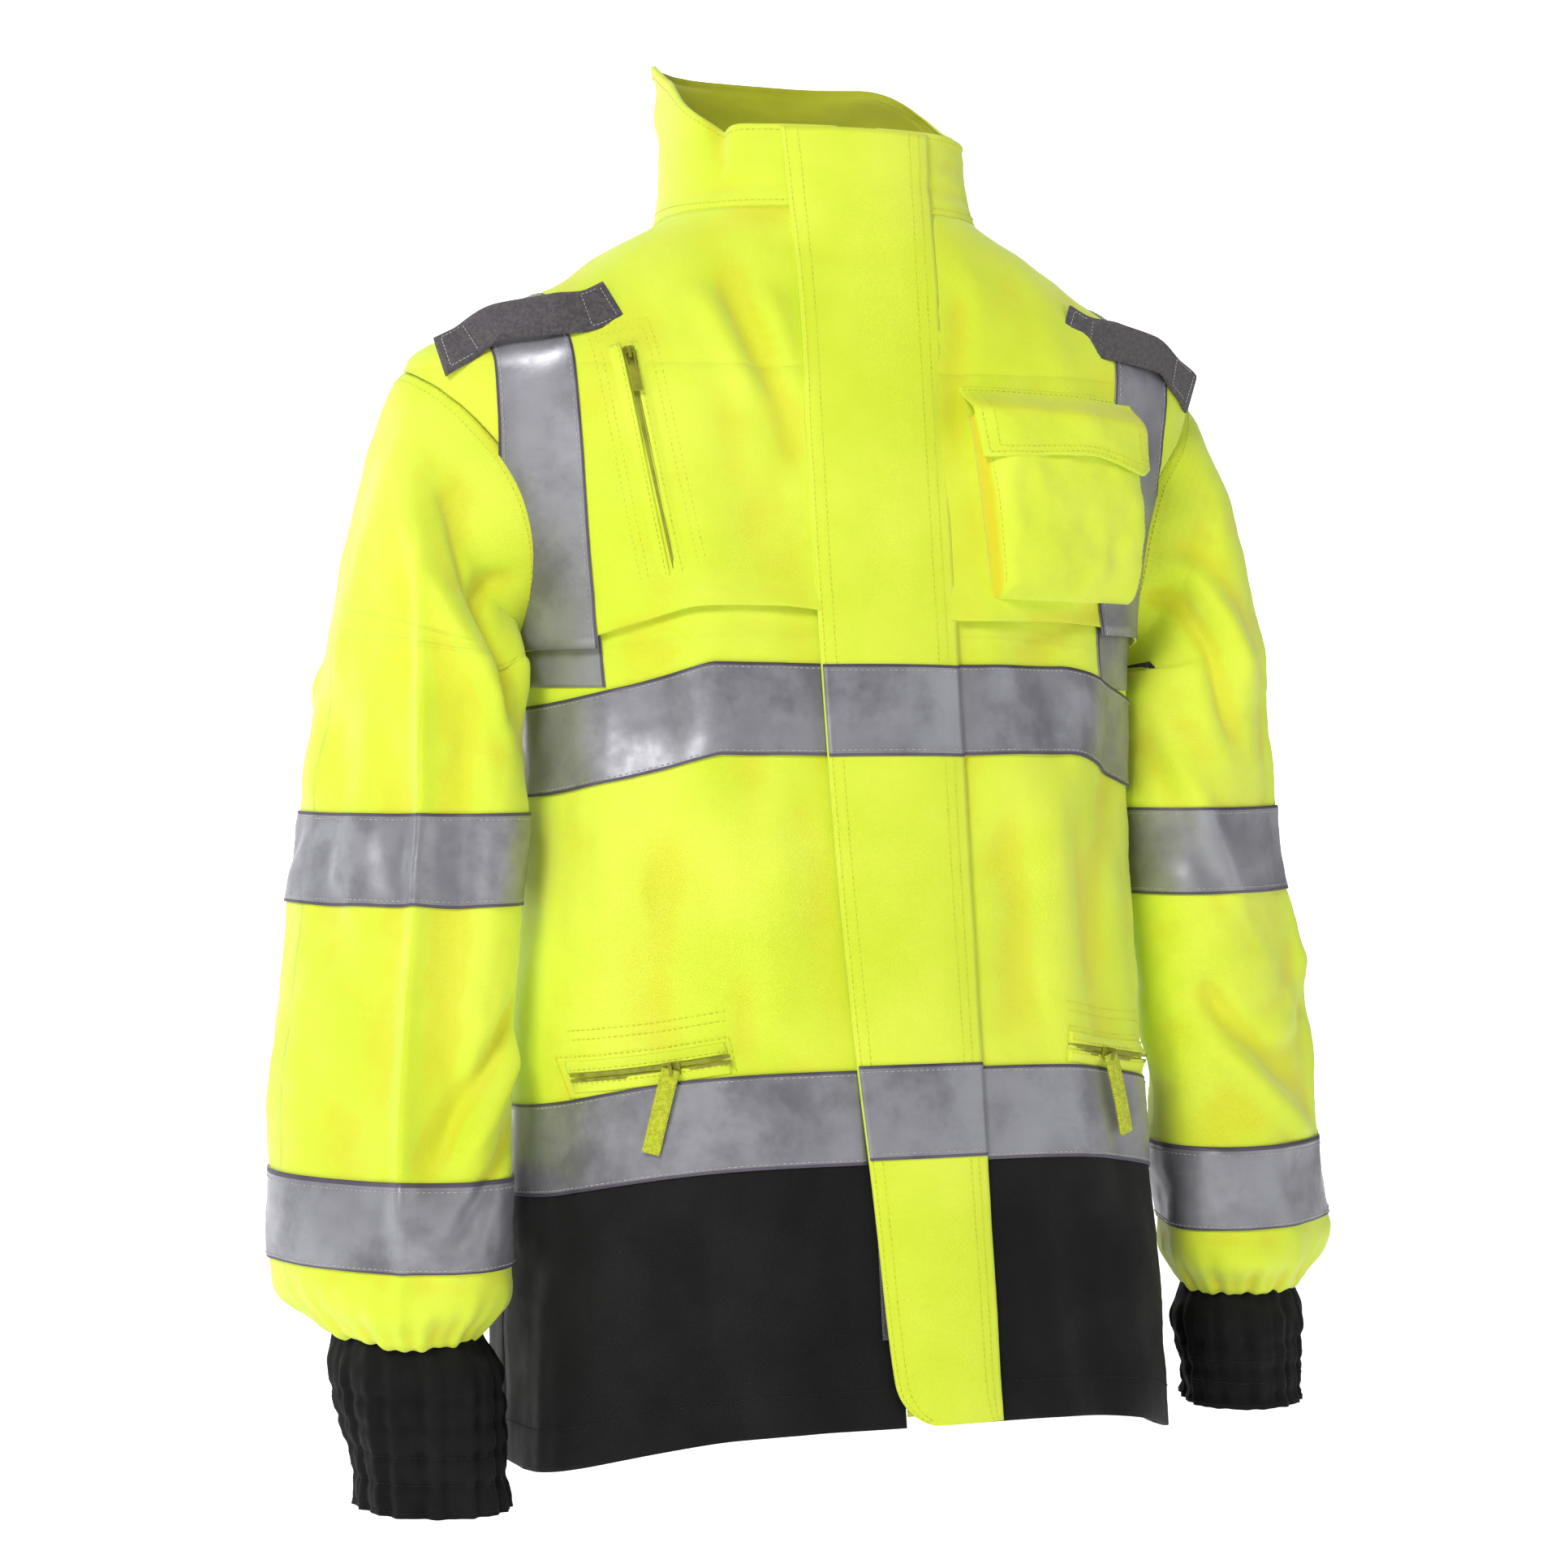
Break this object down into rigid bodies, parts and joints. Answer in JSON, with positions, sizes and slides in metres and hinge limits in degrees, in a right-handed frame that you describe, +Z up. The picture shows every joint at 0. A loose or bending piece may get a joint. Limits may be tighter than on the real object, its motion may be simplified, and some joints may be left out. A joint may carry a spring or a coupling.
{
  "type": "high-visibility parka",
  "caption": "High-visibility parka with a tall collar, storm flap over a front zip, reflective tapes, zip and cargo pockets, black hem and gathered cuffs.",
  "frame": {"origin": "centre of the neck opening at the height of the collar seam", "axes": "+Z up, front towards -Y, the wearer's left towards +X"},
  "size_m": [0.6476, 0.3193, 0.818],
  "materials": {
    "lime_oxford": "fluorescent yellow-lime coated oxford weave",
    "black_oxford": "black coated oxford weave",
    "black_knit": "black gathered cuff with elastic",
    "lining": "olive-lime taffeta lining",
    "reflective_tape": "silver-grey glass-bead reflective tape with darker edges",
    "grey_webbing": "dark grey ribbed webbing",
    "lime_webbing": "lime ribbed webbing",
    "zip_tape": "black woven zip tape",
    "hook_and_loop": "black hook and loop tape",
    "zip_plastic": "moulded black plastic",
    "slider_metal": "black enamelled zinc"
  },
  "bodies": {
    "root": {"back_panel": "lime_oxford", "right_front_panel": "lime_oxford", "left_front_panel": "lime_oxford", "back_hem_panel": "black_oxford", "right_hem_panel": "black_oxford", "left_hem_panel": "black_oxford", "right_front_yoke": "lime_oxford", "left_front_yoke": "lime_oxford", "collar": "lime_oxford", "collar_lining": "lining", "back_lining": "lining", "right_front_lining": "lining", "left_front_lining": "lining", "hanger_loop": "zip_tape", "zip_guard": "lime_oxford", "main_zip_tape_right": "zip_tape", "main_zip_tape_left": "zip_tape", "main_zip_chain": "zip_plastic", "main_zip_stops": "zip_plastic", "front_loop_strip": "hook_and_loop", "chest_band_right": "reflective_tape", "chest_band_left": "reflective_tape", "chest_band_back": "reflective_tape", "waist_band_right": "reflective_tape", "waist_band_left": "reflective_tape", "waist_band_back": "reflective_tape", "right_brace": "reflective_tape", "left_brace": "reflective_tape", "right_mic_tab": "grey_webbing", "left_mic_tab": "grey_webbing", "chest_zip_welt": "lime_oxford", "chest_zip_chain": "zip_plastic", "cargo_pouch": "lime_oxford", "cargo_closure": "hook_and_loop", "right_pocket_welt": "lime_oxford", "left_pocket_welt": "lime_oxford", "right_pocket_zip": "zip_plastic", "left_pocket_zip": "zip_plastic", "right_pocket_bag": "black_oxford", "left_pocket_bag": "black_oxford"},
    "main_slider": {"main_zip_slider": "zip_plastic"},
    "storm_flap": {"storm_flap": "lime_oxford", "flap_chest_tape": "reflective_tape", "flap_waist_tape": "reflective_tape", "flap_hook_strip": "hook_and_loop"},
    "chest_slider": {"chest_zip_slider": "slider_metal"},
    "chest_pull": {"chest_zip_pull": "zip_plastic"},
    "cargo_flap": {"cargo_flap": "lime_oxford"},
    "right_slider": {"right_pocket_slider": "slider_metal"},
    "left_slider": {"left_pocket_slider": "slider_metal"},
    "right_pull": {"right_pocket_pull": "lime_webbing"},
    "left_pull": {"left_pocket_pull": "lime_webbing"},
    "right_sleeve": {"right_sleeve": "lime_oxford", "right_sleeve_lining": "lining", "right_sleeve_tapes": "reflective_tape", "right_cuff": "black_knit"},
    "left_sleeve": {"left_sleeve": "lime_oxford", "left_sleeve_lining": "lining", "left_sleeve_tapes": "reflective_tape", "left_cuff": "black_knit"}
  },
  "joints": [
    {"name": "main_zip_slide", "type": "slide", "parent": "root", "child": "main_slider", "axis": [0, -0.149, -0.9888], "range_m": [0, 0.64]},
    {"name": "storm_flap_hinge", "type": "hinge", "parent": "root", "child": "storm_flap", "pos_m": [0.04, -0.12164, -0.29576], "axis": [0, 0.149, 0.9888], "range_deg": [0, 95]},
    {"name": "chest_zip_slide", "type": "slide", "parent": "root", "child": "chest_slider", "axis": [0.1812, -0.1364, -0.9739], "range_m": [0, 0.112]},
    {"name": "chest_pull_hinge", "type": "hinge", "parent": "chest_slider", "child": "chest_pull", "pos_m": [-0.14025, -0.08301, -0.09423], "axis": [0.9458, -0.2474, 0.2106], "range_deg": [-100, 0]},
    {"name": "cargo_flap_hinge", "type": "hinge", "parent": "root", "child": "cargo_flap", "pos_m": [0.11206, -0.0915, -0.11035], "axis": [0.9636, 0.2672, 0], "range_deg": [-110, 0]},
    {"name": "right_pocket_slide", "type": "hinge", "parent": "root", "child": "right_slider", "pos_m": [-0.0656, -0.0057, -0.473], "axis": [0.1736, 0, -0.9848], "range_deg": [-12, 24]},
    {"name": "right_pull_hinge", "type": "hinge", "parent": "right_slider", "child": "right_pull", "pos_m": [-0.13076, -0.12675, -0.4851], "axis": [0.866, -0.4453, -0.2277], "range_deg": [-100, 0]},
    {"name": "left_pocket_slide", "type": "hinge", "parent": "root", "child": "left_slider", "pos_m": [0.0656, -0.0057, -0.473], "axis": [0.1736, 0, 0.9848], "range_deg": [-12, 24]},
    {"name": "left_pull_hinge", "type": "hinge", "parent": "left_slider", "child": "left_pull", "pos_m": [0.13076, -0.12675, -0.4851], "axis": [0.866, 0.4453, 0.2277], "range_deg": [-100, 0]},
    {"name": "right_shoulder", "type": "hinge", "parent": "root", "child": "right_sleeve", "pos_m": [-0.213, 0.006, -0.178], "axis": [0, 1, 0], "range_deg": [0, 45]},
    {"name": "left_shoulder", "type": "hinge", "parent": "root", "child": "left_sleeve", "pos_m": [0.213, 0.006, -0.178], "axis": [0, -1, 0], "range_deg": [0, 45]}
  ]
}
